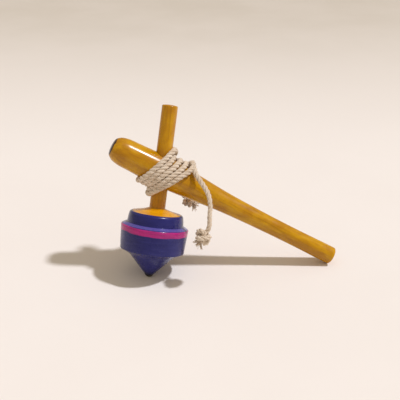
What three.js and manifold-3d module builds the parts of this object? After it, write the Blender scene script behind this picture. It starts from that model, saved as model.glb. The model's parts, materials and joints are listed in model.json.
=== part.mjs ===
// A turned wooden spinning top standing on its point. Its stem runs in a slanted hole in the thick
// head of a tapered handle, whose thin end rests on the ground, and a cotton cord is lashed round
// the crossing. Millimetres, +Z up, ground at z = 0.
import * as THREE from 'three';
import * as BufferGeometryUtils from 'three/addons/utils/BufferGeometryUtils.js';
import Module from 'manifold-3d';

const wasm = await Module();
wasm.setup();

// ---- driving dimensions -------------------------------------------------------------------

const GAP = 0.3; // running or fitting clearance between separate pieces

// Pose: where the top stands and how it and the handle lean.
const TIP_X = -58.6;
const TIP_Y = -14.8;
const STEM_DIRECTION = new THREE.Vector3(0.139, 0.344, 1).normalize();
const HANDLE_HEADING = THREE.MathUtils.degToRad(178.3); // compass angle of the head, from +X
const CROSSING_HEIGHT = 82.7; // along the stem, from the tip to the middle of the handle's hole

// Steel point: a domed head with a straight shank.
const POINT_DOME_RADIUS = 3.7;
const POINT_HEAD_HEIGHT = 1.7;
const POINT_SHANK_RADIUS = 1.3;
const POINT_SHANK_TOP = 14;

// Turned body: cone, flared underside, drum, ledge, neck and crown. Heights are from the tip.
const CONE_TOP_RADIUS = 16.1;
const CONE_TOP_HEIGHT = 16.2;
const CONE_SLOPE = 1.117; // height gained for each millimetre of radius
const DRUM_BOTTOM_RADIUS = 24.7;
const DRUM_BOTTOM_HEIGHT = 21.1;
const LEDGE_RADIUS = 26;
const LEDGE_HEIGHT = 40.3;
const NECK_BOTTOM_RADIUS = 21.7;
const NECK_BOTTOM_HEIGHT = 42.2;
const NECK_WALL_RADIUS = 21.3;
const NECK_WALL_HEIGHT = 46.2;
const RIM_RADIUS = 20.9;
const RIM_HEIGHT = 50.6;
const RIM_ROUNDING = 2.4;
const CROWN_HEIGHT = 54.2;
const LEDGE_ROUNDING = 1;
const TURNING_FACETS = 64;

// Stem: a peg with its tenon in the body and a domed top.
const STEM_RADIUS = 6.1;
const STEM_TOP = 133.6;
const STEM_DOME = 1;
const TENON_DEPTH = 26;
const STEM_FACETS = 48;

// Handle, measured along its axis from the crossing: the head is positive, the thin end negative.
const HEAD_END = 42.4;
const HEAD_FACE_RADIUS = 6.2;
const THIN_END = -152.2;
const THIN_END_RADIUS = 6.9;
const THIN_END_ROUNDING = 1.2;
const HANDLE_OUTLINE = [
  [-140, 6.85],
  [-120, 6.65],
  [-98, 6.75],
  [-76, 7.2],
  [-53, 8.1],
  [-30, 9.9],
  [-8, 11.5],
  [8, 11.7],
  [24, 11.1],
];
const HEAD_SHOULDER = [
  [33, 10.7],
  [38.2, 9.4],
  [41.2, 7.6],
];
const HANDLE_FACETS = 48;

// Cord, and how its turns cross the front of the handle.
const CORD_RADIUS = 1.85;
const CORD_SIDES = 8;
const LASHED_HANDLE_RADIUS = 11.8;
const STRAP_ANGLE = THREE.MathUtils.degToRad(46.6); // from the stem, down towards the thin end
const FIRST_TURN_OFFSET = 6.5;
const LAST_TURN_OFFSET = -9.4;
const FIRST_TURN_SLOPE = 0.067;
const LAST_TURN_SLOPE = -0.1;

// Where the two loose ends run, from the crossing along +X, +Y and +Z.
const FRONT_TAIL_ROUTE = [
  [25.8, -7.2, 1.4],
  [28.9, -11.9, -1.9],
  [32.4, -16.6, -5.6],
  [35.6, -21.5, -10.4],
  [36.8, -26.4, -16.2],
  [36.2, -30.6, -22.8],
  [35.8, -34.0, -30.7],
];
const FRONT_KNOT_PLACE = [31.6, -36.4, -37.2];
const FRONT_KNOT_DIRECTION = new THREE.Vector3(-0.62, -0.25, -0.74).normalize();
const FRONT_KNOT_RADII = [5.0, 7.6];
const BACK_TAIL_ROUTE = [
  [10.2, 19.2, -4.4],
  [11.2, 18.6, -12.4],
  [13.2, 16.2, -19.6],
  [15.3, 14.4, -26.2],
];
const BACK_KNOT_PLACE = [20.6, 12.9, -31.2];
const BACK_KNOT_DIRECTION = new THREE.Vector3(0.76, -0.2, -0.62).normalize();
const BACK_KNOT_RADII = [4.2, 6.8];

// ---- helpers ------------------------------------------------------------------------------

function arc(centreX, centreY, radius, startDegrees, endDegrees, steps) {
  const points = [];
  for (let i = 0; i <= steps; i++) {
    const angle = THREE.MathUtils.degToRad(startDegrees + ((endDegrees - startDegrees) * i) / steps);
    points.push([centreX + radius * Math.cos(angle), centreY + radius * Math.sin(angle)]);
  }
  return points;
}

// A solid turned about +Z from [radius, height] points that run upward from axis to axis.
function turned(outline, facets) {
  const points = outline.map(([radius, height]) => new THREE.Vector2(Math.max(radius, 0), height));
  const geometry = new THREE.LatheGeometry(points, facets);
  geometry.rotateX(Math.PI / 2);
  return geometry;
}

function straightRod(radius, bottom, top, facets) {
  return turned([[0, bottom], [radius, bottom], [radius, top], [0, top]], facets);
}

function toSolid(geometry) {
  const bare = geometry.clone();
  bare.deleteAttribute('normal');
  bare.deleteAttribute('uv');
  const merged = BufferGeometryUtils.mergeVertices(bare, 1e-5);
  const vertProperties = new Float32Array(merged.attributes.position.array);
  const triVerts = new Uint32Array(merged.index.array);
  const mesh = new wasm.Mesh({ numProp: 3, vertProperties, triVerts });
  return new wasm.Manifold(mesh);
}

function toGeometry(solid) {
  const mesh = solid.getMesh();
  const geometry = new THREE.BufferGeometry();
  geometry.setAttribute('position', new THREE.BufferAttribute(mesh.vertProperties, 3));
  geometry.setIndex(new THREE.BufferAttribute(mesh.triVerts, 1));
  geometry.computeVertexNormals();
  return geometry;
}

function named(name, geometry, material) {
  const mesh = new THREE.Mesh(geometry, material);
  mesh.name = name;
  return mesh;
}

function finish(color, roughness, metalness = 0) {
  return new THREE.MeshStandardMaterial({ color, roughness, metalness });
}

// ---- materials ----------------------------------------------------------------------------

const steel = finish('#4a4744', 0.35, 1);
const blueLacquer = finish('#2e2e63', 0.25);
const stemLacquer = finish('#9a6212', 0.3);
const ochreLacquer = finish('#c98a18', 0.25);
const cottonCord = finish('#d8c6ac', 0.95);

// ---- the pose -----------------------------------------------------------------------------

// The dome's lowest point touches the ground, so its centre is one radius up.
const domeCentre = new THREE.Vector3(TIP_X, TIP_Y, POINT_DOME_RADIUS);
const tip = domeCentre.clone().addScaledVector(STEM_DIRECTION, -POINT_DOME_RADIUS);
const crossing = tip.clone().addScaledVector(STEM_DIRECTION, CROSSING_HEIGHT);

// The handle slopes so that the rounded rim of its thin end touches the ground.
function handleSlope() {
  const along = -THIN_END - THIN_END_ROUNDING;
  const across = THIN_END_RADIUS - THIN_END_ROUNDING;
  const drop = crossing.z - THIN_END_ROUNDING;
  return Math.asin(drop / Math.hypot(along, across)) - Math.atan2(across, along);
}

const slope = handleSlope();
const handleDirection = new THREE.Vector3(
  Math.cos(slope) * Math.cos(HANDLE_HEADING),
  Math.cos(slope) * Math.sin(HANDLE_HEADING),
  Math.sin(slope),
);
const holeAngle = STEM_DIRECTION.angleTo(handleDirection);

// Rotation that takes +Z to the first direction and +X to the side of it where the second lies.
function facing(direction, side) {
  const z = direction.clone();
  const x = side.clone().addScaledVector(z, -side.dot(z)).normalize();
  const y = z.clone().cross(x);
  return new THREE.Quaternion().setFromRotationMatrix(new THREE.Matrix4().makeBasis(x, y, z));
}

// ---- the top ------------------------------------------------------------------------------

function spinningPoint() {
  const headRadius = Math.sqrt(POINT_HEAD_HEIGHT * (2 * POINT_DOME_RADIUS - POINT_HEAD_HEIGHT));
  const rimAngle = THREE.MathUtils.radToDeg(Math.asin(headRadius / POINT_DOME_RADIUS)) - 90;
  const outline = [
    ...arc(0, POINT_DOME_RADIUS, POINT_DOME_RADIUS, -90, rimAngle, 8),
    [POINT_SHANK_RADIUS, POINT_HEAD_HEIGHT],
    [POINT_SHANK_RADIUS, POINT_SHANK_TOP - 1],
    [0, POINT_SHANK_TOP],
  ];
  return turned(outline, 32);
}

// The underside is concave: it leaves the cone at the cone's own slope and ends at the drum.
function undersideFlare() {
  const start = new THREE.Vector2(CONE_TOP_RADIUS, CONE_TOP_HEIGHT);
  const control = new THREE.Vector2(CONE_TOP_RADIUS + 1.9, CONE_TOP_HEIGHT + 1.9 * CONE_SLOPE);
  const end = new THREE.Vector2(DRUM_BOTTOM_RADIUS - 0.6, DRUM_BOTTOM_HEIGHT - 0.3);
  const curve = new THREE.QuadraticBezierCurve(start, control, end);
  return curve.getPoints(5).map((point) => [point.x, point.y]);
}

// The crown dips a little between the rim and the foot of the stem.
function crown() {
  const start = new THREE.Vector2(RIM_RADIUS - RIM_ROUNDING, RIM_HEIGHT);
  const control = new THREE.Vector2(11.5, RIM_HEIGHT + 1.5);
  const end = new THREE.Vector2(STEM_RADIUS + GAP, CROWN_HEIGHT);
  const curve = new THREE.QuadraticBezierCurve(start, control, end);
  return curve.getPoints(6).map((point) => [point.x, point.y]);
}

function topBody() {
  const headTop = POINT_HEAD_HEIGHT + GAP;
  const tipRadius = CONE_TOP_RADIUS - (CONE_TOP_HEIGHT - headTop) / CONE_SLOPE;
  const shankHoleRadius = POINT_SHANK_RADIUS + GAP;
  const shankHoleTop = POINT_SHANK_TOP + GAP;
  const tenonHoleRadius = STEM_RADIUS + GAP;
  const tenonHoleBottom = CROWN_HEIGHT - TENON_DEPTH - GAP;
  const ledgeCentre = LEDGE_HEIGHT - LEDGE_ROUNDING;
  const rimCentre = RIM_HEIGHT - RIM_ROUNDING;
  const outline = [
    [0, shankHoleTop],
    [shankHoleRadius, shankHoleTop],
    [shankHoleRadius, headTop],
    [tipRadius, headTop],
    ...undersideFlare(),
    [DRUM_BOTTOM_RADIUS, DRUM_BOTTOM_HEIGHT + 0.4],
    [LEDGE_RADIUS, ledgeCentre],
    ...arc(LEDGE_RADIUS - LEDGE_ROUNDING, ledgeCentre, LEDGE_ROUNDING, 15, 65, 3),
    [NECK_BOTTOM_RADIUS, NECK_BOTTOM_HEIGHT],
    [NECK_WALL_RADIUS, NECK_WALL_HEIGHT],
    ...arc(RIM_RADIUS - RIM_ROUNDING, rimCentre, RIM_ROUNDING, 10, 70, 4),
    ...crown(),
    [tenonHoleRadius, tenonHoleBottom],
    [0, tenonHoleBottom],
  ];
  return turned(outline, TURNING_FACETS);
}

function stem() {
  const bottom = CROWN_HEIGHT - TENON_DEPTH;
  const outline = [
    [0, bottom],
    [STEM_RADIUS - 0.6, bottom],
    [STEM_RADIUS, bottom + 0.6],
    [STEM_RADIUS, STEM_TOP - STEM_DOME - 0.6],
    [STEM_RADIUS - 0.6, STEM_TOP - STEM_DOME],
    [STEM_RADIUS * 0.6, STEM_TOP - 0.35],
    [0, STEM_TOP],
  ];
  return turned(outline, STEM_FACETS);
}

// ---- the handle ---------------------------------------------------------------------------

function handleBlank() {
  const endCentre = THIN_END + THIN_END_ROUNDING;
  const endRounding = arc(THIN_END_RADIUS - THIN_END_ROUNDING, endCentre, THIN_END_ROUNDING, -90, 0, 4);
  const along = HANDLE_OUTLINE.concat(HEAD_SHOULDER).map(([x, r]) => new THREE.Vector2(r, x));
  const start = new THREE.Vector2(THIN_END_RADIUS, endCentre);
  const sides = new THREE.SplineCurve([start, ...along]).getPoints(36).map((point) => [point.x, point.y]);
  const outline = [
    [0, THIN_END],
    ...endRounding,
    ...sides.slice(1),
    [HEAD_FACE_RADIUS, HEAD_END],
    [0, HEAD_END],
  ];
  return turned(outline, HANDLE_FACETS);
}

// The hole runs along the stem, which crosses the handle at a slant.
function handle() {
  const drill = straightRod(STEM_RADIUS + GAP, -30, 30, STEM_FACETS);
  drill.rotateY(holeAngle);
  return toGeometry(toSolid(handleBlank()).subtract(toSolid(drill)));
}

// ---- the cord -----------------------------------------------------------------------------

// Unit directions at the crossing: out of the plane of the two axes towards the front, and square
// to the stem within that plane, towards the thin end.
const front = STEM_DIRECTION.clone().cross(handleDirection).normalize();
const thinEndSide = front.clone().cross(STEM_DIRECTION).normalize();
if (thinEndSide.dot(handleDirection) > 0) {
  thinEndSide.negate();
}

// The line that a turn follows across the front: share 0 is the first turn and 1 is the last.
function turnLine(share) {
  const offset = THREE.MathUtils.lerp(FIRST_TURN_OFFSET, LAST_TURN_OFFSET, share);
  const tilt = Math.atan(THREE.MathUtils.lerp(FIRST_TURN_SLOPE, LAST_TURN_SLOPE, share));
  const angle = STRAP_ANGLE - tilt;
  const along = STEM_DIRECTION.clone().multiplyScalar(Math.cos(angle));
  along.addScaledVector(thinEndSide, Math.sin(angle));
  const across = STEM_DIRECTION.clone().multiplyScalar(Math.sin(angle));
  across.addScaledVector(thinEndSide, -Math.cos(angle));
  return { along, across, offset };
}

// A round bar of the given direction and radius, cut by the turn's plane, is an ellipse.
function cutBar(direction, radius, line) {
  const rise = direction.dot(line.across);
  return {
    centre: (line.offset * direction.dot(line.along)) / rise,
    halfLength: radius / Math.abs(rise),
    halfDepth: radius,
  };
}

// The cord is taut round both bars, so a turn is the outline of the two ellipses together,
// standing off by the given distance. Angle 0 points along the line and 90 degrees to the front.
function turnPoint(share, angle, standOff) {
  const line = turnLine(share);
  const bars = [
    cutBar(handleDirection, LASHED_HANDLE_RADIUS, line),
    cutBar(STEM_DIRECTION, STEM_RADIUS, line),
  ];
  const c = Math.cos(angle);
  const s = Math.sin(angle);
  let furthest = -Infinity;
  let x = 0;
  let z = 0;
  for (const bar of bars) {
    const spread = Math.hypot(bar.halfLength * c, bar.halfDepth * s);
    const reach = bar.centre * c + spread;
    if (reach > furthest) {
      furthest = reach;
      x = bar.centre + (bar.halfLength ** 2 * c) / spread + standOff * c;
      z = (bar.halfDepth ** 2 * s) / spread + standOff * s;
    }
  }
  const point = crossing.clone().addScaledVector(line.along, x);
  point.addScaledVector(line.across, line.offset);
  return point.addScaledVector(front, z);
}

// The turns lie side by side and make one closed band round the crossing.
function lashingBand() {
  const aroundSteps = 40;
  const acrossSteps = 5;
  const edge = CORD_RADIUS / (FIRST_TURN_OFFSET - LAST_TURN_OFFSET);
  const positions = [];
  const index = [];
  const ringSize = 2 * (acrossSteps + 1);
  for (let i = 0; i < aroundSteps; i++) {
    const angle = (2 * Math.PI * i) / aroundSteps;
    const section = [];
    for (let j = 0; j <= acrossSteps; j++) {
      const share = THREE.MathUtils.lerp(-edge, 1 + edge, j / acrossSteps);
      section.push(turnPoint(share, angle, GAP));
    }
    for (let j = acrossSteps; j >= 0; j--) {
      const share = THREE.MathUtils.lerp(-edge, 1 + edge, j / acrossSteps);
      section.push(turnPoint(share, angle, GAP + 2 * CORD_RADIUS));
    }
    for (const point of section) {
      positions.push(point.x, point.y, point.z);
    }
  }
  for (let i = 0; i < aroundSteps; i++) {
    const next = (i + 1) % aroundSteps;
    for (let j = 0; j < ringSize; j++) {
      const k = (j + 1) % ringSize;
      const a = i * ringSize + j;
      const b = i * ringSize + k;
      const c = next * ringSize + k;
      const d = next * ringSize + j;
      index.push(a, b, c, a, c, d);
    }
  }
  const geometry = new THREE.BufferGeometry();
  geometry.setAttribute('position', new THREE.Float32BufferAttribute(positions, 3));
  geometry.setIndex(index);
  geometry.computeVertexNormals();
  return geometry;
}

function fromCrossing([x, y, z]) {
  return crossing.clone().add(new THREE.Vector3(x, y, z));
}

function cordTube(route) {
  const path = new THREE.CatmullRomCurve3(route.map(fromCrossing), false, 'centripetal');
  const corners = arc(0, 0, CORD_RADIUS, 0, 360 * (1 - 1 / CORD_SIDES), CORD_SIDES - 1);
  const section = new THREE.Shape(corners.map(([x, y]) => new THREE.Vector2(x, y)));
  const steps = Math.max(2, Math.round(path.getLength() / (5 * CORD_RADIUS)));
  return new THREE.ExtrudeGeometry(section, { steps, extrudePath: path, bevelEnabled: false });
}

function knot([radius, halfLength], place, direction) {
  const outline = arc(0, 0, 1, -90, 90, 10).map(([r, h]) => [r * radius, h * halfLength]);
  const geometry = turned(outline, 16);
  geometry.applyQuaternion(facing(direction, front));
  geometry.translate(...fromCrossing(place).toArray());
  return geometry;
}

// ---- assembly -----------------------------------------------------------------------------

const top = new THREE.Group();
top.position.copy(tip);
top.quaternion.copy(facing(STEM_DIRECTION, handleDirection));
top.add(named('spinning_point', spinningPoint(), steel));
top.add(named('top_body', topBody(), blueLacquer));
top.add(named('stem', stem(), stemLacquer));

const handleMesh = named('handle', handle(), ochreLacquer);
handleMesh.position.copy(crossing);
handleMesh.quaternion.copy(facing(handleDirection, STEM_DIRECTION));

const cord = new THREE.Group();
cord.add(named('cord_lashing', lashingBand(), cottonCord));
cord.add(named('cord_front_tail', cordTube(FRONT_TAIL_ROUTE), cottonCord));
const frontKnot = knot(FRONT_KNOT_RADII, FRONT_KNOT_PLACE, FRONT_KNOT_DIRECTION);
cord.add(named('cord_front_knot', frontKnot, cottonCord));
cord.add(named('cord_back_tail', cordTube(BACK_TAIL_ROUTE), cottonCord));
const backKnot = knot(BACK_KNOT_RADII, BACK_KNOT_PLACE, BACK_KNOT_DIRECTION);
cord.add(named('cord_back_knot', backKnot, cottonCord));

const assembly = new THREE.Group();
assembly.add(top, handleMesh, cord);

export default assembly;
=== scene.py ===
"""Looks for a lacquered wooden spinning top whose handle is lashed to its stem with a cotton cord."""

import json
import math

import bpy
import numpy as np
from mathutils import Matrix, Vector


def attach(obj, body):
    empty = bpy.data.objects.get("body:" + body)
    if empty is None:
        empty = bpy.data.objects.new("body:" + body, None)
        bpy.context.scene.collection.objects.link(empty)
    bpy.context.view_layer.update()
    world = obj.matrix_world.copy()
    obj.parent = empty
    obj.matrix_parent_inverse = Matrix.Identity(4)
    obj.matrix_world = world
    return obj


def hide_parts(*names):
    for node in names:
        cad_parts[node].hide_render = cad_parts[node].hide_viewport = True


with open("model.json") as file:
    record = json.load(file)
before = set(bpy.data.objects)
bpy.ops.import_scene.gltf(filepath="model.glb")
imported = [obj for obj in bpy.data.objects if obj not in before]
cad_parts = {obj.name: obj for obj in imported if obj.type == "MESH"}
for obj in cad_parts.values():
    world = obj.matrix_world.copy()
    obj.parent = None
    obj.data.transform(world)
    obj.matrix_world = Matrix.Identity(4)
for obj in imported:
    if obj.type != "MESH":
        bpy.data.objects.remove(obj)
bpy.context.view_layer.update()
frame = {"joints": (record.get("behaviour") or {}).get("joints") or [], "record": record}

MM = 0.001
GAP = 0.3 * MM  # clearance round the stem in its hole, and under the cord
rng = np.random.default_rng(7)

# ---- places and directions, from the frame --------------------------------------------------

joints = {joint["name"]: joint for joint in frame["joints"]}
mounts = {mount["name"]: mount for mount in frame["record"]["mounts"]}
TIP = Vector(joints["top_spin"]["pos_m"])
STEM_DIRECTION = Vector(joints["top_spin"]["axis"]).normalized()
HANDLE_DIRECTION = Vector(mounts["handle_head_face"]["axis"]).normalized()
HEAD_FACE = Vector(mounts["handle_head_face"]["pos_m"])
HEAD_END = 42.4 * MM  # from the crossing to the flat end of the handle's head
CROSSING = HEAD_FACE - HANDLE_DIRECTION * HEAD_END
FRONT = STEM_DIRECTION.cross(HANDLE_DIRECTION).normalized()
if FRONT.y > 0:
    FRONT.negate()
THIN_END_SIDE = FRONT.cross(STEM_DIRECTION).normalized()
if THIN_END_SIDE.dot(HANDLE_DIRECTION) > 0:
    THIN_END_SIDE.negate()


# ---- camera ---------------------------------------------------------------------------------

CAMERA_PLACE = Vector((-19.2, -547.8, 325.7)) * MM
CAMERA_PITCH = math.radians(26)
CAMERA_LENS = 72

camera_data = bpy.data.cameras.new("camera")
camera_data.lens = CAMERA_LENS
camera_data.sensor_width = 36
camera_data.clip_start = 0.01
camera = bpy.data.objects.new("camera", camera_data)
camera.location = CAMERA_PLACE
camera.rotation_euler = (math.pi / 2 - CAMERA_PITCH, 0, 0)
bpy.context.scene.collection.objects.link(camera)
bpy.context.scene.camera = camera
bpy.context.scene.view_settings.view_transform = "Standard"


# ---- mesh helpers ---------------------------------------------------------------------------


def mesh_object(name, points, faces, attributes=None, uvs=None, smooth=True):
    """A linked mesh object. attributes maps a name to one vector per point; uvs is one pair per point."""
    mesh = bpy.data.meshes.new(name)
    mesh.from_pydata([tuple(point) for point in points], [], faces)
    for key, values in (attributes or {}).items():
        layer = mesh.attributes.new(key, "FLOAT_VECTOR", "POINT")
        layer.data.foreach_set("vector", np.asarray(values, np.float32).ravel())
    if uvs is not None:
        layer = mesh.uv_layers.new(name="UVMap")
        index = np.empty(len(mesh.loops), np.int32)
        mesh.loops.foreach_get("vertex_index", index)
        layer.data.foreach_set("uv", np.asarray(uvs, np.float32)[index].ravel())
    if smooth:
        mesh.polygons.foreach_set("use_smooth", [True] * len(mesh.polygons))
    obj = bpy.data.objects.new(name, mesh)
    bpy.context.scene.collection.objects.link(obj)
    return obj


def arc(centre_x, centre_y, radius, start, end, steps):
    """Points on an arc in the outline's plane, with its angles in degrees."""
    points = []
    for i in range(steps + 1):
        angle = math.radians(start + (end - start) * i / steps)
        points.append((centre_x + radius * math.cos(angle), centre_y + radius * math.sin(angle)))
    return points


def bezier(start, control, end, steps):
    """Points on a curve with one control point, without its first."""
    points = []
    for i in range(1, steps + 1):
        t = i / steps
        weights = ((1 - t) ** 2, 2 * t * (1 - t), t * t)
        mixed = sum(weight * np.array(point) for weight, point in zip(weights, (start, control, end)))
        points.append((float(mixed[0]), float(mixed[1])))
    return points


def smooth_through(points, spacing):
    """Evenly spaced points on the centripetal Catmull-Rom curve through the given ones."""
    given = np.array([tuple(point) for point in points], float)
    ends = np.vstack([2 * given[0] - given[1], given, 2 * given[-1] - given[-2]])
    fine = []
    for i in range(1, len(ends) - 2):
        p0, p1, p2, p3 = ends[i - 1 : i + 3]
        t1 = np.linalg.norm(p1 - p0) ** 0.5
        t2 = t1 + np.linalg.norm(p2 - p1) ** 0.5
        t3 = t2 + np.linalg.norm(p3 - p2) ** 0.5
        for t in np.linspace(t1, t2, 24, endpoint=False):
            a1 = (t1 - t) / t1 * p0 + t / t1 * p1
            a2 = (t2 - t) / (t2 - t1) * p1 + (t - t1) / (t2 - t1) * p2
            a3 = (t3 - t) / (t3 - t2) * p2 + (t - t2) / (t3 - t2) * p3
            b1 = (t2 - t) / t2 * a1 + t / t2 * a2
            b2 = (t3 - t) / (t3 - t1) * a2 + (t - t1) / (t3 - t1) * a3
            fine.append((t2 - t) / (t2 - t1) * b1 + (t - t1) / (t2 - t1) * b2)
    fine.append(given[-1])
    return evenly_spaced(np.array(fine), spacing)


def evenly_spaced(line, spacing):
    along = np.concatenate([[0], np.cumsum(np.linalg.norm(np.diff(line, axis=0), axis=1))])
    count = max(2, int(round(along[-1] / spacing)) + 1)
    wanted = np.linspace(0, along[-1], count)
    return np.column_stack([np.interp(wanted, along, line[:, axis]) for axis in range(line.shape[1])])


def line_length(line):
    return float(np.linalg.norm(np.diff(line, axis=0), axis=1).sum())


def basis(direction, side):
    """Columns x, y, z with z along direction and x on the side where the second one lies."""
    z = Vector(direction).normalized()
    x = (Vector(side) - z * Vector(side).dot(z)).normalized()
    y = z.cross(x)
    return np.array([x, y, z]).T


def turned(name, outline, facets, origin, axes, wobble=0.0):
    """A solid turned about the z column of axes from (radius, height) points that run from axis to axis.
    Its "local" attribute holds each point's place in the piece's own axes."""
    profile = np.array(outline, float)
    angles = np.linspace(0, 2 * np.pi, facets, endpoint=False)
    local = []
    faces = []
    inner = profile[1:-1]
    for radius, height in inner:
        out_of_round = 1 + wobble * np.sin(2 * angles + 40 * height)
        ring = np.column_stack([np.cos(angles), np.sin(angles)]) * (radius * out_of_round)[:, None]
        local.extend(np.column_stack([ring, np.full(facets, height)]))
    for i in range(len(inner) - 1):
        for j in range(facets):
            k = (j + 1) % facets
            faces.append((i * facets + j, i * facets + k, (i + 1) * facets + k, (i + 1) * facets + j))
    bottom = len(local)
    local.append((0, 0, profile[0][1]))
    local.append((0, 0, profile[-1][1]))
    last = (len(inner) - 1) * facets
    for j in range(facets):
        k = (j + 1) % facets
        faces.append((bottom, k, j))
        faces.append((bottom + 1, last + j, last + k))
    local = np.array(local)
    placed = local @ axes.T + np.array(origin)
    return mesh_object(name, placed, faces, {"local": local})


def mark_local(obj, origin, axes):
    """Writes the "local" attribute again, for a mesh that a boolean has rebuilt."""
    points = np.array([vertex.co for vertex in obj.data.vertices])
    if "local" in obj.data.attributes:
        obj.data.attributes.remove(obj.data.attributes["local"])
    layer = obj.data.attributes.new("local", "FLOAT_VECTOR", "POINT")
    layer.data.foreach_set("vector", ((points - np.array(origin)) @ axes).astype(np.float32).ravel())


def densify(outline, longest):
    """Adds points so that no straight stretch of an outline is longer than this."""
    result = [outline[0]]
    for start, end in zip(outline, outline[1:]):
        count = max(1, math.ceil(math.dist(start, end) / longest))
        for i in range(1, count + 1):
            result.append(tuple(a + (b - a) * i / count for a, b in zip(start, end)))
    return result


def soften_by_angle(obj, degrees):
    """Smooth shading, with a sharp edge wherever the surface turns by more than this."""
    bpy.context.view_layer.objects.active = obj
    obj.select_set(True)
    bpy.ops.object.shade_smooth_by_angle(angle=math.radians(degrees))
    obj.select_set(False)


# ---- material helpers -----------------------------------------------------------------------


class Nodes:
    """A new node material with a Principled shader and short ways to add to it."""

    def __init__(self, name):
        self.material = bpy.data.materials.new(name)
        self.material.use_nodes = True
        self.tree = self.material.node_tree
        self.shader = self.tree.nodes["Principled BSDF"]

    def add(self, kind, **values):
        node = self.tree.nodes.new(kind)
        for key, value in values.items():
            setattr(node, key, value)
        return node

    def link(self, source, target):
        self.tree.links.new(source, target)

    def put(self, target, value):
        if hasattr(value, "is_output"):
            self.link(value, target)
        else:
            target.default_value = value

    def math(self, operation, a, b=0.0, clamp=False):
        node = self.add("ShaderNodeMath", operation=operation, use_clamp=clamp)
        self.put(node.inputs[0], a)
        self.put(node.inputs[1], b)
        return node.outputs[0]

    def attribute(self, name):
        return self.add("ShaderNodeAttribute", attribute_name=name).outputs["Vector"]

    def scaled(self, vector, scale):
        node = self.add("ShaderNodeVectorMath", operation="MULTIPLY")
        self.link(vector, node.inputs[0])
        node.inputs[1].default_value = scale
        return node.outputs[0]

    def noise(self, vector, scale=1.0, detail=4.0, roughness=0.55):
        node = self.add("ShaderNodeTexNoise")
        self.link(vector, node.inputs["Vector"])
        node.inputs["Scale"].default_value = scale
        node.inputs["Detail"].default_value = detail
        node.inputs["Roughness"].default_value = roughness
        return node.outputs["Fac"]

    def remap(self, value, low, high, to_low=0.0, to_high=1.0):
        node = self.add("ShaderNodeMapRange", interpolation_type="SMOOTHSTEP")
        self.link(value, node.inputs["Value"])
        for key, number in zip(("From Min", "From Max", "To Min", "To Max"), (low, high, to_low, to_high)):
            node.inputs[key].default_value = number
        return node.outputs["Result"]

    def mix(self, factor, a, b):
        node = self.add("ShaderNodeMix", data_type="RGBA")
        self.put(node.inputs[0], factor)
        self.put(node.inputs[6], a)
        self.put(node.inputs[7], b)
        return node.outputs[2]

    def bump(self, height, strength, distance, normal=None):
        node = self.add("ShaderNodeBump")
        self.link(height, node.inputs["Height"])
        node.inputs["Strength"].default_value = strength
        node.inputs["Distance"].default_value = distance
        if normal is not None:
            self.link(normal, node.inputs["Normal"])
        return node.outputs["Normal"]

    def separate(self, vector):
        node = self.add("ShaderNodeSeparateXYZ")
        self.link(vector, node.inputs[0])
        return node.outputs

    def radius(self, vector):
        """Distance from the piece's own z axis."""
        node = self.add("ShaderNodeVectorMath", operation="LENGTH")
        self.link(self.scaled(vector, (1, 1, 0)), node.inputs[0])
        return node.outputs["Value"]


def rgb(red, green, blue):
    """A linear colour from screen values of 0 to 255."""
    linear = []
    for value in (red, green, blue):
        if value > 10:
            linear.append(((value / 255 + 0.055) / 1.055) ** 2.4)
        else:
            linear.append(value / 255 / 12.92)
    return (*linear, 1)


# ---- materials ------------------------------------------------------------------------------


def lacquer_gloss(nodes, local, low, high):
    """Uneven gloss, fine turning marks and small dents that every lacquered piece shares."""
    shader = nodes.shader
    patches = nodes.noise(local, 90, 3)
    nodes.link(nodes.remap(patches, 0.3, 0.7, low, high), shader.inputs["Roughness"])
    shader.inputs["Specular IOR Level"].default_value = 0.3
    shader.inputs["Coat Weight"].default_value = 0.12
    shader.inputs["Coat Roughness"].default_value = 0.12
    rings = nodes.noise(nodes.scaled(local, (40, 40, 2600)), 1, 2)
    dents = nodes.noise(local, 420, 3)
    waves = nodes.noise(local, 110, 2)
    first = nodes.bump(rings, 0.25, 0.00006)
    second = nodes.bump(dents, 0.25, 0.00012, first)
    nodes.link(nodes.bump(waves, 0.5, 0.0003, second), shader.inputs["Normal"])


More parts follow.
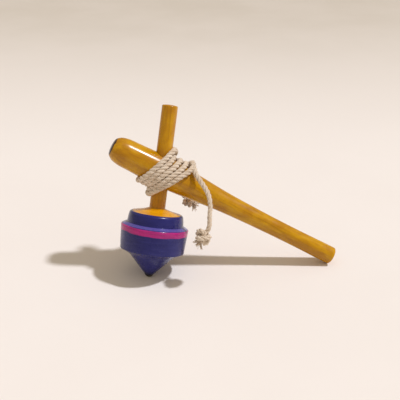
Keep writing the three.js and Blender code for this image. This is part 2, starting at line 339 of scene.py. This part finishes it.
def body_material():
    """Blue lacquer with a magenta band under the ledge and a yellow crown, painted with wavering edges, plus
    a painted highlight on the ledge and painted shade near the tip.
    """
    nodes = Nodes("body_lacquer")
    local = nodes.attribute("local")
    height = nodes.separate(local)[2]
    radius = nodes.radius(local)
    streaks = nodes.noise(nodes.scaled(local, (60, 60, 900)), 1, 4)
    clouds = nodes.noise(local, 70, 3)
    blue = nodes.mix(nodes.remap(clouds, 0.3, 0.7), rgb(23, 24, 94), rgb(36, 37, 106))
    blue = nodes.mix(nodes.remap(streaks, 0.45, 0.75, 0, 0.5), blue, rgb(54, 55, 124))
    magenta = nodes.mix(nodes.remap(streaks, 0.35, 0.7), rgb(188, 38, 130), rgb(152, 34, 110))
    yellow = nodes.mix(nodes.remap(streaks, 0.3, 0.7), rgb(228, 164, 8), rgb(208, 142, 10))
    waver = nodes.noise(nodes.scaled(local, (60, 60, 20)), 1, 1)
    shift = nodes.remap(waver, 0.25, 0.75, -0.0005, 0.0005)
    moved = nodes.math("ADD", height, shift)
    above = nodes.remap(moved, BAND_BOTTOM - 0.0002, BAND_BOTTOM + 0.0002)
    near_top = nodes.math("ADD", height, nodes.math("MULTIPLY", shift, 0.4))
    below = nodes.remap(near_top, BAND_TOP - 0.00015, BAND_TOP + 0.00015, 1, 0)
    colour = nodes.mix(nodes.math("MULTIPLY", above, below), blue, magenta)
    near_rim = nodes.math("ADD", radius, nodes.math("MULTIPLY", shift, 0.5))
    in_crown = nodes.remap(near_rim, CROWN_PAINT - 0.0002, CROWN_PAINT + 0.0002, 1, 0)
    on_top = nodes.remap(height, RIM_HEIGHT - 0.002, RIM_HEIGHT - 0.001)
    colour = nodes.mix(nodes.math("MULTIPLY", in_crown, on_top), colour, yellow)
    # Painted highlight: the upward-facing ledge is mixed towards a lighter blue, as where it catches the
    # light.
    over_band = nodes.remap(height, 0.0402, 0.0405)
    under_neck = nodes.remap(height, 0.0418, 0.0421, 1, 0)
    painted_ledge_highlight = nodes.math("MULTIPLY", over_band, under_neck)
    colour = nodes.mix(nodes.math("MULTIPLY", painted_ledge_highlight, 0.75), colour, rgb(96, 88, 166))
    scuffs = nodes.noise(nodes.scaled(local, (300, 300, 1200)), 1, 5, 0.7)
    colour = nodes.mix(nodes.remap(scuffs, 0.68, 0.8, 0, 0.35), colour, rgb(120, 112, 140))
    # Painted shade: the cone darkens to near black close to the tip, where it meets the floor.
    painted_tip_shade = nodes.remap(height, 0.002, 0.006, 0.7, 0)
    colour = nodes.mix(painted_tip_shade, colour, rgb(16, 14, 30))
    nodes.link(colour, nodes.shader.inputs["Base Color"])
    lacquer_gloss(nodes, local, 0.2, 0.34)
    return nodes.material


def wood_lacquer(name, light, middle, dark, dark_end=None):
    """Clear coloured lacquer over wood: streaks along the grain, brown clouds and small marks."""
    nodes = Nodes(name)
    local = nodes.attribute("local")
    grain = nodes.noise(nodes.scaled(local, (700, 700, 34)), 1, 5, 0.6)
    fine = nodes.noise(nodes.scaled(local, (2400, 2400, 90)), 1, 3, 0.6)
    clouds = nodes.noise(nodes.scaled(local, (130, 130, 60)), 1, 4)
    colour = nodes.mix(nodes.remap(clouds, 0.35, 0.65), light, middle)
    colour = nodes.mix(nodes.remap(grain, 0.48, 0.72, 0, 0.4), colour, dark)
    colour = nodes.mix(nodes.remap(fine, 0.55, 0.75, 0, 0.25), colour, dark)
    marks = nodes.noise(nodes.scaled(local, (520, 520, 260)), 1, 4, 0.7)
    colour = nodes.mix(nodes.remap(marks, 0.64, 0.76, 0, 0.4), colour, rgb(104, 50, 10))
    if dark_end is not None:
        height = nodes.separate(local)[2]
        waver = nodes.remap(clouds, 0.2, 0.8, -0.0006, 0.0006)
        at_end = nodes.remap(nodes.math("ADD", height, waver), dark_end - 0.0003, dark_end + 0.0003)
        colour = nodes.mix(at_end, colour, rgb(52, 24, 20))
    nodes.link(colour, nodes.shader.inputs["Base Color"])
    lacquer_gloss(nodes, local, 0.18, 0.32)
    return nodes.material


def steel_material():
    nodes = Nodes("point_steel")
    local = nodes.attribute("local")
    wear = nodes.noise(local, 900, 4)
    colour = nodes.mix(nodes.remap(wear, 0.35, 0.7), rgb(58, 54, 52), rgb(112, 104, 96))
    nodes.link(colour, nodes.shader.inputs["Base Color"])
    nodes.link(nodes.remap(wear, 0.3, 0.7, 0.3, 0.55), nodes.shader.inputs["Roughness"])
    nodes.shader.inputs["Metallic"].default_value = 1
    nodes.link(nodes.bump(nodes.noise(local, 2500, 2), 0.3, 0.00005), nodes.shader.inputs["Normal"])
    return nodes.material


def cord_material():
    """Undyed cotton: the UV map runs round each strand and along it, so the yarns lie on a slant."""
    nodes = Nodes("cotton_cord")
    uv = nodes.add("ShaderNodeUVMap", uv_map="UVMap").outputs[0]
    yarns = nodes.add("ShaderNodeTexWave", wave_type="BANDS", bands_direction="DIAGONAL", wave_profile="SIN")
    nodes.link(nodes.scaled(uv, (5, 3.2, 0)), yarns.inputs["Vector"])
    yarns.inputs["Scale"].default_value = 0.55
    yarns.inputs["Distortion"].default_value = 2.2
    yarns.inputs["Detail"].default_value = 3
    place = nodes.add("ShaderNodeTexCoord").outputs["Object"]
    clouds = nodes.noise(place, 160, 3)
    fibres = nodes.noise(nodes.scaled(uv, (22, 3, 0)), 1, 5, 0.7)
    colour = nodes.mix(nodes.remap(clouds, 0.3, 0.7), rgb(246, 232, 212), rgb(228, 210, 186))
    colour = nodes.mix(nodes.remap(fibres, 0.42, 0.72, 0, 0.55), colour, rgb(172, 142, 114))
    # Painted shade: the grooves between the slanted yarns, the low parts of the yarn bump, are darkened.
    colour = nodes.mix(nodes.remap(yarns.outputs["Fac"], 0.0, 0.35, 0.4, 0), colour, rgb(150, 120, 94))
    nodes.link(colour, nodes.shader.inputs["Base Color"])
    nodes.shader.inputs["Roughness"].default_value = 0.92
    nodes.shader.inputs["Sheen Weight"].default_value = 0.25
    first = nodes.bump(yarns.outputs["Fac"], 0.6, 0.00018)
    nodes.link(nodes.bump(fibres, 0.6, 0.00015, first), nodes.shader.inputs["Normal"])
    return nodes.material


# ---- the cord's route -----------------------------------------------------------------------

CORD_DIAMETER = 3.7 * MM
CORD_RADIUS = CORD_DIAMETER / 2
STEM_RADIUS = 6.1 * MM
LASHED_HANDLE_RADIUS = 11.8 * MM
STRAP_ANGLE = math.radians(46.6)  # from the stem, down towards the thin end
FIRST_TURN_OFFSET = 6.5 * MM
LAST_TURN_OFFSET = -9.4 * MM
FIRST_TURN_SLOPE = 0.067
LAST_TURN_SLOPE = -0.1
TURN_SHARES = (0, 0.23, 0.51, 0.74, 1)  # how the turns are spread where each one comes over the top
LOWER_SHARES = (0, 0.27, 0.49, 0.79, 1)  # and where each one goes under at the lower left
POINTS_PER_TURN = 36
NEXT_LAYER = 3.2 * MM

# Where the two loose ends run, from the crossing along +X, +Y and +Z in millimetres.
FRONT_TAIL_ROUTE = [
    (25.8, -7.2, 1.4),
    (28.9, -11.9, -1.9),
    (32.4, -16.6, -5.6),
    (35.6, -21.5, -10.4),
    (36.8, -26.4, -16.2),
    (36.2, -30.6, -22.8),
    (35.8, -34.0, -30.7),
]
FRONT_KNOT_PLACE = (31.6, -36.4, -37.2)
FRONT_KNOT_DIRECTION = Vector((-0.62, -0.25, -0.74)).normalized()
BACK_TAIL_ROUTE = [
    (10.2, 19.2, -4.4),
    (11.2, 18.6, -12.4),
    (13.2, 16.2, -19.6),
    (15.3, 14.4, -26.2),
]
BACK_KNOT_PLACE = (20.6, 12.9, -31.2)
BACK_KNOT_DIRECTION = Vector((0.76, -0.2, -0.62)).normalized()


def from_crossing(place):
    return CROSSING + Vector(place) * MM


def turn_point(share, degrees, stand_off):
    """A point of a turn of the lashing. Share 0 is the first turn across the front and 1 the last.
    The angle is 0 at the turn's upper right end, 90 in front, 180 at its lower left end and 270 behind."""
    offset = FIRST_TURN_OFFSET + (LAST_TURN_OFFSET - FIRST_TURN_OFFSET) * share
    angle = STRAP_ANGLE - math.atan(FIRST_TURN_SLOPE + (LAST_TURN_SLOPE - FIRST_TURN_SLOPE) * share)
    along = STEM_DIRECTION * math.cos(angle) + THIN_END_SIDE * math.sin(angle)
    across = STEM_DIRECTION * math.sin(angle) - THIN_END_SIDE * math.cos(angle)
    c = math.cos(math.radians(degrees))
    s = math.sin(math.radians(degrees))
    furthest = -math.inf
    for direction, radius in ((HANDLE_DIRECTION, LASHED_HANDLE_RADIUS), (STEM_DIRECTION, STEM_RADIUS)):
        rise = direction.dot(across)
        centre = offset * direction.dot(along) / rise
        half = radius / abs(rise)
        spread = math.hypot(half * c, radius * s)
        if centre * c + spread > furthest:
            furthest = centre * c + spread
            x = centre + half * half * c / spread + stand_off * c
            z = radius * radius * s / spread + stand_off * s
    return CROSSING + along * x + across * offset + FRONT * z


def cord_route():
    """The whole cord, from the knot behind the handle, round the crossing, to the knot in front."""
    first_layer = GAP + CORD_RADIUS
    back_tail = [from_crossing(place) for place in reversed(BACK_TAIL_ROUTE)]
    route = [from_crossing(BACK_KNOT_PLACE)] + back_tail
    route.append(turn_point(0.30, 318, first_layer + NEXT_LAYER))
    route.append(turn_point(0.12, 342, first_layer + 0.7 * NEXT_LAYER))
    half_turn = POINTS_PER_TURN // 2
    for turn, (share, lower_share) in enumerate(zip(TURN_SHARES, LOWER_SHARES)):
        for i in range(half_turn):
            part = i / half_turn
            moved = share + (lower_share - share) * part
            route.append(turn_point(moved, 180 * part, first_layer))
        if turn + 1 == len(TURN_SHARES):
            break
        for i in range(half_turn):
            part = i / half_turn
            moved = lower_share + part * part * (3 - 2 * part) * (TURN_SHARES[turn + 1] - lower_share)
            route.append(turn_point(moved, 180 + 180 * part, first_layer))
    for i in range(14):
        part = i / 13
        lift = NEXT_LAYER * min(1, 3 * part)
        route.append(turn_point(1 - 0.13 * part, 180 + 176 * part, first_layer + lift))
    route.extend(from_crossing(place) for place in FRONT_TAIL_ROUTE)
    route.append(from_crossing(FRONT_KNOT_PLACE))
    return route


# ---- the cord's mesh ------------------------------------------------------------------------

STRANDS = 3
CORD_LAY = 11 * MM  # length in which a strand goes once round the cord
STRAND_SIDES = 12
STRAND_FULLNESS = 1.16  # strands are pressed together, so they are thicker than round ones would be
LASHING_FLUFF = 1.1  # the soft cord's turns swell beyond its declared diameter by this factor
TAIL_FLUFF = 0.92  # and its loose ends are pulled a little thinner


def frames_along(line):
    """Tangents and two normals at each point of a line, turned as little as possible on the way."""
    tangents = np.gradient(line, axis=0)
    tangents /= np.linalg.norm(tangents, axis=1)[:, None]
    normal = np.cross(tangents[0], (0.3, 0.5, 0.8))
    normals = []
    for tangent in tangents:
        normal = normal - tangent * np.dot(normal, tangent)
        normal = normal / np.linalg.norm(normal)
        normals.append(normal)
    normals = np.array(normals)
    return tangents, normals, np.cross(tangents, normals)


def tube(line, radii, sides, first=0):
    """Points, faces and UVs of a closed tube along a line, with one radius for each point."""
    _, normals, binormals = frames_along(line)
    angles = np.linspace(0, 2 * np.pi, sides, endpoint=False)
    ring = np.cos(angles)[None, :, None] * normals[:, None, :]
    ring = ring + np.sin(angles)[None, :, None] * binormals[:, None, :]
    points = line[:, None, :] + ring * np.asarray(radii)[:, None, None]
    points = points.reshape(-1, 3)
    along = np.concatenate([[0], np.cumsum(np.linalg.norm(np.diff(line, axis=0), axis=1))]) / MM
    uvs = np.column_stack([np.tile(angles / (2 * np.pi), len(line)), np.repeat(along, sides)])
    faces = []
    for i in range(len(line) - 1):
        for j in range(sides):
            k = (j + 1) % sides
            a = first + i * sides
            faces.append((a + j, a + k, a + sides + k, a + sides + j))
    faces.append(tuple(first + j for j in reversed(range(sides))))
    last = first + (len(line) - 1) * sides
    faces.append(tuple(last + j for j in range(sides)))
    return points, faces, uvs


def join_tubes(tubes):
    """One set of points, faces and UVs from (line, radii, sides) rows."""
    points, faces, uvs = [], [], []
    count = 0
    for line, radii, sides in tubes:
        more_points, more_faces, more_uvs = tube(line, radii, sides, count)
        points.append(more_points)
        faces.extend(more_faces)
        uvs.append(more_uvs)
        count += len(more_points)
    return np.vstack(points), faces, np.vstack(uvs)


def strand_tubes(line, diameters):
    """The twisted strands of a cord along a line, with one diameter for each point."""
    strand_radii = diameters / 2 / (1 + 2 / math.sqrt(3))
    helix_radii = diameters / 2 - strand_radii
    along = np.concatenate([[0], np.cumsum(np.linalg.norm(np.diff(line, axis=0), axis=1))])
    _, normals, binormals = frames_along(line)
    rows = []
    for strand in range(STRANDS):
        angle = 2 * np.pi * (along / CORD_LAY + strand / STRANDS)
        bulge = 1 + 0.05 * np.sin(along / MM * 0.9 + strand * 2) + 0.03 * np.sin(along / MM * 2.3 + strand)
        side = np.cos(angle)[:, None] * normals + np.sin(angle)[:, None] * binormals
        centre = line + side * (helix_radii * bulge)[:, None]
        rows.append((centre, strand_radii * STRAND_FULLNESS * bulge, STRAND_SIDES))
    return rows


def fuzz_tubes(line, diameter, per_mm, reach):
    """Short loose fibres standing a little off the cord."""
    tangents, normals, binormals = frames_along(line)
    rows = []
    for _ in range(int(line_length(line) / MM * per_mm)):
        i = int(rng.integers(2, len(line) - 3))
        angle = rng.uniform(0, 2 * np.pi)
        out = math.cos(angle) * normals[i] + math.sin(angle) * binormals[i]
        round_it = np.cross(tangents[i], out)
        lean = tangents[i] * rng.uniform(-1, 1) + round_it * rng.uniform(-1, 1)
        start = line[i] + out * diameter * 0.4
        length = reach * rng.uniform(0.4, 1)
        steps = np.linspace(0, 1, 5)[:, None]
        fibre = start + out * length * (steps - 0.35 * steps**2) + lean * length * steps**1.4
        rows.append((fibre, np.linspace(0.045, 0.02, 5) * MM, 3))
    return rows


def frayed_tubes(place, direction, count, length, spread, thickness):
    """A tuft of yarns or fibres that opens out from a cut end."""
    axes = basis(direction, (0.2, 0.3, 1))
    rows = []
    for _ in range(count):
        angle = rng.uniform(0, 2 * np.pi)
        share = math.sqrt(rng.uniform(0, 1))
        side = math.cos(angle) * axes[:, 0] + math.sin(angle) * axes[:, 1]
        start = np.array(place) + side * share * 1.3 * MM
        reach = length * rng.uniform(0.55, 1)
        curl = rng.normal(0, 0.25, 3)
        steps = np.linspace(0, 1, 9)[:, None]
        forward = axes[:, 2] * reach * steps
        outward = side * spread * share * steps**1.6
        wave = curl * reach * steps**2 + rng.normal(0, 0.03, (9, 3)) * reach * steps
        rows.append((start + forward + outward + wave, np.linspace(thickness, 0.35 * thickness, 9), 6))
    return rows


def overhand_knot(place, direction, size, phase):
    """The centreline of a tight overhand knot: three crossing loops round its direction."""
    axes = basis(direction, FRONT)
    t = np.linspace(0, 2 * np.pi * 0.985, 220) + phase
    ring = 2 + np.cos(3 * t)
    local = np.column_stack([ring * np.cos(2 * t), ring * np.sin(2 * t), 1.7 * np.sin(3 * t)]) * size
    return local @ axes.T + np.array(place)


def cord_piece(name, tubes, material):
    points, faces, uvs = join_tubes(tubes)
    piece = mesh_object(name, points, faces, uvs=uvs)
    piece.data.materials.append(material)
    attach(piece, "handle")
    return piece


def make_cord(material):
    path = smooth_through(cord_route(), 0.6 * MM)
    from_end = np.minimum(np.arange(len(path)), np.arange(len(path))[::-1]) * 0.6 * MM
    fluff = np.interp(from_end, (30 * MM, 55 * MM), (TAIL_FLUFF, LASHING_FLUFF))
    rope = cord_piece("cord", strand_tubes(path, fluff * CORD_DIAMETER), material)
    fuzz = cord_piece("cord_fuzz", fuzz_tubes(path, CORD_DIAMETER, 2.2, 1.5 * MM), material)
    ends = (
        ("cord_front_knot_rope", FRONT_KNOT_PLACE, FRONT_KNOT_DIRECTION, 1.75 * MM, 1.3),
        ("cord_back_knot_rope", BACK_KNOT_PLACE, BACK_KNOT_DIRECTION, 1.45 * MM, 1.6),
    )
    for name, place, direction, size, phase in ends:
        centre = from_crossing(place)
        loops = evenly_spaced(overhand_knot(centre, direction, size, phase), 0.5 * MM)
        cut_end = centre + direction * 3.8 * MM
        tubes = strand_tubes(loops, np.full(len(loops), CORD_DIAMETER))
        tubes += frayed_tubes(cut_end, direction, 28, 4.4 * MM, 3.4 * MM, 0.6 * MM)
        tubes += frayed_tubes(cut_end, direction, 14, 4.6 * MM, 3.6 * MM, 0.2 * MM)
        tubes += fuzz_tubes(loops, CORD_DIAMETER, 2.2, 1.5 * MM)
        cord_piece(name, tubes, material)
    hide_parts("cord_lashing", "cord_front_tail", "cord_back_tail")
    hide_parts("cord_front_knot")
    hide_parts("cord_back_knot")


# ---- the turned pieces ----------------------------------------------------------------------

CONE_TOP = (16.1 * MM, 16.2 * MM)
CONE_SLOPE = 1.117
POINT_HEAD_HEIGHT = 1.7 * MM
POINT_DOME_RADIUS = 3.7 * MM
DRUM_BOTTOM = (24.7 * MM, 21.1 * MM)
LEDGE_RADIUS = 26 * MM
LEDGE_HEIGHT = 40.3 * MM
NECK_BOTTOM = (21.7 * MM, 42.2 * MM)
NECK_WALL = (21.3 * MM, 46.2 * MM)
RIM_RADIUS = 20.9 * MM
RIM_HEIGHT = 50.6 * MM
RIM_ROUNDING = 2.4 * MM
CROWN_HEIGHT = 54.2 * MM
CROWN_PAINT = 18.7 * MM  # radius of the yellow paint
BAND_TOP = 40.1 * MM
BAND_BOTTOM = 35.6 * MM
STEM_TOP = 133.6 * MM
TENON_BOTTOM = 28.2 * MM
TURNING_FACETS = 192

top_axes = basis(STEM_DIRECTION, HANDLE_DIRECTION)
handle_axes = basis(HANDLE_DIRECTION, STEM_DIRECTION)


def make_point(material):
    head_radius = math.sqrt(POINT_HEAD_HEIGHT * (2 * POINT_DOME_RADIUS - POINT_HEAD_HEIGHT))
    rim = math.degrees(math.asin(head_radius / POINT_DOME_RADIUS)) - 90
    outline = arc(0, POINT_DOME_RADIUS, POINT_DOME_RADIUS, -90, rim, 16)
    outline += [(1.3 * MM, POINT_HEAD_HEIGHT), (1.3 * MM, 13 * MM), (0, 14 * MM)]
    point = turned("point", outline, 64, TIP, top_axes)
    point.data.materials.append(material)
    soften_by_angle(point, 40)
    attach(point, "point")
    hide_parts("spinning_point")


def body_outline():
    seat = POINT_HEAD_HEIGHT + 0.1 * MM
    tip_radius = CONE_TOP[0] - (CONE_TOP[1] - seat) / CONE_SLOPE
    flare_control = (CONE_TOP[0] + 1.9 * MM, CONE_TOP[1] + 1.9 * MM * CONE_SLOPE)
    edge = 0.8 * MM
    ledge_round = 1.1 * MM
    rim_centre = RIM_HEIGHT - RIM_ROUNDING
    foot = (STEM_RADIUS + 0.1 * MM, CROWN_HEIGHT)
    outline = [(0, 14.3 * MM), (1.6 * MM, 14.3 * MM), (1.6 * MM, seat), (tip_radius - 0.3 * MM, seat)]
    outline += arc(tip_radius - 0.3 * MM, seat + 0.35 * MM, 0.35 * MM, -70, -35, 3)
    outline += [CONE_TOP]
    outline += bezier(CONE_TOP, flare_control, (DRUM_BOTTOM[0] - edge, DRUM_BOTTOM[1] - 0.15 * MM), 12)
    outline += arc(DRUM_BOTTOM[0] - edge, DRUM_BOTTOM[1] + 0.65 * MM, edge, -60, -4, 5)
    outline += arc(LEDGE_RADIUS - ledge_round, LEDGE_HEIGHT - ledge_round, ledge_round, 0, 66, 7)
    outline += [NECK_BOTTOM, NECK_WALL]
    outline += arc(RIM_RADIUS - RIM_ROUNDING, rim_centre, RIM_ROUNDING, 8, 82, 9)
    outline += bezier(outline[-1], (11.5 * MM, RIM_HEIGHT + 1.3 * MM), foot, 16)
    outline += [(foot[0], TENON_BOTTOM), (0, TENON_BOTTOM)]
    return densify(outline, 0.9 * MM)


def make_body(material):
    body = turned("body", body_outline(), TURNING_FACETS, TIP, top_axes, wobble=0.0012)
    body.data.materials.append(material)
    soften_by_angle(body, 30)
    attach(body, "top")
    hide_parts("top_body")


def make_stem(material):
    rounding = 1.1 * MM
    outline = [(0, TENON_BOTTOM)]
    outline += [(STEM_RADIUS - 0.6 * MM, TENON_BOTTOM), (STEM_RADIUS, TENON_BOTTOM + 0.6 * MM)]
    outline += arc(STEM_RADIUS - rounding, STEM_TOP - rounding - 0.5 * MM, rounding, 0, 75, 7)
    outline += bezier(outline[-1], (2.4 * MM, STEM_TOP), (0, STEM_TOP), 8)
    stem = turned("peg", densify(outline, 2 * MM), 96, TIP, top_axes, wobble=0.004)
    stem.data.materials.append(material)
    soften_by_angle(stem, 40)
    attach(stem, "top")
    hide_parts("stem")


HANDLE_OUTLINE = [
    (6.9, -151),
    (6.85, -140),
    (6.65, -120),
    (6.75, -98),
    (7.2, -76),
    (8.1, -53),
    (9.9, -30),
    (11.5, -8),
    (11.7, 8),
    (11.1, 24),
    (10.7, 33),
    (9.4, 38.2),
    (7.9, 40.6),
]
THIN_END = -152.2 * MM


def make_handle(material):
    rounding = 1.2 * MM
    sides = smooth_through([(radius * MM, height * MM, 0) for radius, height in HANDLE_OUTLINE], 1.2 * MM)
    outline = [(0, THIN_END)] + arc(6.9 * MM - rounding, THIN_END + rounding, rounding, -90, 0, 8)
    outline += [(point[0], point[1]) for point in sides[1:]]
    outline += [(7.1 * MM, 41.4 * MM), (6.3 * MM, 42.0 * MM)]
    outline += bezier(outline[-1], (4 * MM, HEAD_END + 0.5 * MM), (0, HEAD_END + 0.5 * MM), 6)
    handle = turned("grip", outline, 160, CROSSING, handle_axes, wobble=0.002)
    hole_radius = STEM_RADIUS + GAP
    drill_outline = [(0, 52 * MM), (hole_radius, 52 * MM), (hole_radius, 114 * MM), (0, 114 * MM)]
    drill = turned("drill", drill_outline, 96, TIP, top_axes)
    cut = handle.modifiers.new("hole", "BOOLEAN")
    cut.operation = "DIFFERENCE"
    cut.solver = "EXACT"
    cut.object = drill
    bpy.context.view_layer.objects.active = handle
    bpy.ops.object.modifier_apply(modifier=cut.name)
    bpy.data.objects.remove(drill)
    mark_local(handle, CROSSING, handle_axes)
    handle.data.materials.clear()
    handle.data.materials.append(material)
    soften_by_angle(handle, 40)
    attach(handle, "handle")
    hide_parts("handle")


# ---- floor and light ------------------------------------------------------------------------


def make_floor():
    """A pale sweep: flat under the object and curved up far behind it."""
    rows = [(-1.5, 0.0), (1.6, 0.0)]
    rows += [(1.6 + 1.2 * math.sin(a), 1.2 - 1.2 * math.cos(a)) for a in np.linspace(0.05, math.pi / 2, 20)]
    rows.append((2.8, 3.0))
    half_width = 2.5
    points = []
    for y, z in rows:
        points += [(-half_width, y, z), (half_width, y, z)]
    faces = [(2 * i, 2 * i + 1, 2 * i + 3, 2 * i + 2) for i in range(len(rows) - 1)]
    floor = mesh_object("floor", points, faces)
    nodes = Nodes("pale_floor")
    place = nodes.add("ShaderNodeTexCoord").outputs["Object"]
    mottle = nodes.noise(place, 6, 3)
    # Painted shade: the sweep darkens with distance behind the object, in place of the light's falloff.
    painted_far_shade = nodes.remap(nodes.separate(place)[1], 0.1, 1.0)
    colour = nodes.mix(painted_far_shade, rgb(236, 231, 226), rgb(198, 190, 177))
    colour = nodes.mix(nodes.remap(mottle, 0.3, 0.7, 0, 0.2), colour, rgb(226, 219, 212))
    nodes.link(colour, nodes.shader.inputs["Base Color"])
    nodes.shader.inputs["Roughness"].default_value = 0.8
    nodes.link(nodes.bump(nodes.noise(place, 900, 2), 0.1, 0.0002), nodes.shader.inputs["Normal"])
    floor.data.materials.append(nodes.material)


TO_LIGHT = Vector((0.574, -0.009, 1))


def make_lights():
    key = bpy.data.lights.new("key", "SUN")
    key.energy = 2.5
    key.angle = math.radians(4)
    key.color = (0.93, 0.93, 1.0)
    lamp = bpy.data.objects.new("key", key)
    lamp.rotation_euler = TO_LIGHT.to_track_quat("Z", "Y").to_euler()
    bpy.context.scene.collection.objects.link(lamp)
    world = bpy.data.worlds.new("world")
    world.use_nodes = True
    background = world.node_tree.nodes["Background"]
    background.inputs["Color"].default_value = (1.0, 0.87, 0.70, 1)
    background.inputs["Strength"].default_value = 0.52
    bpy.context.scene.world = world


make_cord(cord_material())
make_point(steel_material())
make_body(body_material())
make_stem(wood_lacquer("stem_lacquer", rgb(202, 148, 4), rgb(180, 122, 3), rgb(130, 82, 3)))
make_handle(
    wood_lacquer("handle_lacquer", rgb(202, 150, 3), rgb(178, 122, 2), rgb(122, 74, 2), dark_end=41.4 * MM)
)
make_floor()
make_lights()
